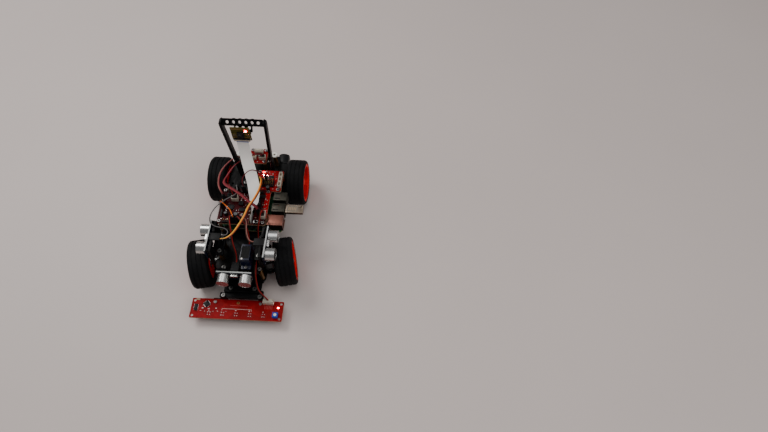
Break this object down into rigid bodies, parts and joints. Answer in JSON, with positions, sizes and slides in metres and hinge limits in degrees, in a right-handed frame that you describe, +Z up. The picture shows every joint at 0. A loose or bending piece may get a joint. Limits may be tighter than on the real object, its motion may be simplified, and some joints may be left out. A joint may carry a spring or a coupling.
{
  "type": "educational coding robot",
  "caption": "Steered robot car with a stack of circuit boards, distance sensors, a line sensor bar and a camera on a tall arch.",
  "frame": {"origin": "on the ground under the middle of the car", "axes": "+Z up, the nose with the line sensor points to -Y, +X is the side with the USB sockets"},
  "size_m": [0.1507, 0.2545, 0.1652],
  "materials": {
    "black_acrylic": "satin",
    "brass": "satin",
    "white_nylon": "satin",
    "steel": "bright",
    "red_board": "glossy",
    "green_board": "glossy",
    "blue_board": "glossy",
    "olive_board": "glossy",
    "black_plastic": "matte",
    "black_metal": "satin",
    "blue_plastic": "satin",
    "ribbon_white": "satin",
    "servo_blue": "satin",
    "grey_metal": "satin",
    "tyre_rubber": "matte",
    "rim_red": "satin",
    "cell_wrap": "glossy",
    "wire_yellow": "satin",
    "wire_brown": "satin",
    "wire_red": "satin"
  },
  "bodies": {
    "chassis": {"upper_plate": "black_acrylic", "front_lower_plate": "black_acrylic", "rear_lower_plate": "black_acrylic", "plate_standoffs": "brass", "post_caps": "white_nylon", "chassis_screws": "steel", "kingpin_bearings": "steel", "line_sensor_board": "red_board", "line_sensor_emitters": "black_plastic", "trimmer_body": "blue_plastic", "bar_hangers": "black_metal", "front_sonar_bracket": "black_acrylic", "left_sonar_bracket": "black_acrylic", "right_sonar_bracket": "black_acrylic", "sonar_boards": "blue_board", "sonar_cans": "steel", "left_motor_bracket": "black_acrylic", "right_motor_bracket": "black_acrylic", "camera_arch": "black_acrylic", "camera_bracket": "black_acrylic", "camera_board": "olive_board", "camera_lens": "black_plastic", "camera_ribbon": "ribbon_white", "computer_board": "green_board", "computer_sockets": "steel", "driver_hat_board": "red_board", "board_chips": "black_plastic", "pin_headers": "black_plastic", "white_connectors": "white_nylon", "switch_body": "steel", "pwm_board": "red_board", "motor_driver_board": "red_board", "servo_case": "servo_blue", "gearboxes": "black_plastic", "motor_cans": "black_metal", "battery_holder": "black_plastic", "battery_cells": "cell_wrap", "wire_plugs": "black_plastic", "signal_wires": "wire_yellow", "sonar_wires": "wire_brown", "power_wires": "wire_red"},
    "left_knuckle": {"left_knuckle": "grey_metal"},
    "right_knuckle": {"right_knuckle": "grey_metal"},
    "servo_horn": {"servo_horn": "white_nylon"},
    "tie_rod": {"tie_rod": "black_plastic"},
    "front_left_wheel": {"front_left_tyre": "tyre_rubber", "front_left_hub": "rim_red", "front_left_bearings": "steel"},
    "front_right_wheel": {"front_right_tyre": "tyre_rubber", "front_right_hub": "rim_red", "front_right_bearings": "steel"},
    "rear_left_wheel": {"rear_left_tyre": "tyre_rubber", "rear_left_hub": "rim_red", "output_shaft_left": "white_nylon"},
    "rear_right_wheel": {"rear_right_tyre": "tyre_rubber", "rear_right_hub": "rim_red", "output_shaft_right": "white_nylon"},
    "trimmer_screw": {"trimmer_screw": "white_nylon"},
    "switch_slider": {"switch_slider": "black_plastic"},
    "usb_stick": {"usb_stick": "steel"}
  },
  "joints": [
    {"name": "left_knuckle_steer", "type": "hinge", "parent": "chassis", "child": "left_knuckle", "pos_m": [0.034, -0.053, 0.0325], "axis": [0, 0, 1], "range_deg": [-37, 13]},
    {"name": "right_knuckle_steer", "type": "hinge", "parent": "chassis", "child": "right_knuckle", "pos_m": [-0.034, -0.053, 0.0325], "axis": [0, 0, 1], "range_deg": [-37, 13]},
    {"name": "servo_turn", "type": "hinge", "parent": "chassis", "child": "servo_horn", "pos_m": [0.012, -0.055, 0.04], "axis": [0, 0, 1], "range_deg": [-37, 13]},
    {"name": "tie_rod_pivot", "type": "hinge", "parent": "left_knuckle", "child": "tie_rod", "pos_m": [0.03026, -0.03539, 0.036], "axis": [0, 0, 1], "range_deg": [-13, 37]},
    {"name": "front_left_spin", "type": "hinge", "parent": "left_knuckle", "child": "front_left_wheel", "pos_m": [0.05552, -0.04843, 0.0325], "axis": [0.9781, 0.2079, 0], "continuous": true},
    {"name": "front_right_spin", "type": "hinge", "parent": "right_knuckle", "child": "front_right_wheel", "pos_m": [-0.05552, -0.05757, 0.0325], "axis": [0.9781, 0.2079, 0], "continuous": true},
    {"name": "rear_left_spin", "type": "hinge", "parent": "chassis", "child": "rear_left_wheel", "pos_m": [0.0555, 0.082, 0.0325], "axis": [1, 0, 0], "continuous": true},
    {"name": "rear_right_spin", "type": "hinge", "parent": "chassis", "child": "rear_right_wheel", "pos_m": [-0.0555, 0.082, 0.0325], "axis": [1, 0, 0], "continuous": true},
    {"name": "trimmer_turn", "type": "hinge", "parent": "chassis", "child": "trimmer_screw", "pos_m": [0.0495, -0.1195, 0.018], "axis": [0, 0, 1], "range_deg": [-135, 135]},
    {"name": "switch_slide", "type": "slide", "parent": "chassis", "child": "switch_slider", "axis": [1, 0, 0], "range_m": [0, 0.0031]},
    {"name": "stick_pull", "type": "slide", "parent": "chassis", "child": "usb_stick", "axis": [1, 0, 0], "range_m": [0, 0.012]}
  ],
  "couplings": [
    {"joint": "right_knuckle_steer", "follows": "left_knuckle_steer", "ratio": 1},
    {"joint": "servo_turn", "follows": "left_knuckle_steer", "ratio": 1},
    {"joint": "tie_rod_pivot", "follows": "left_knuckle_steer", "ratio": -1}
  ]
}
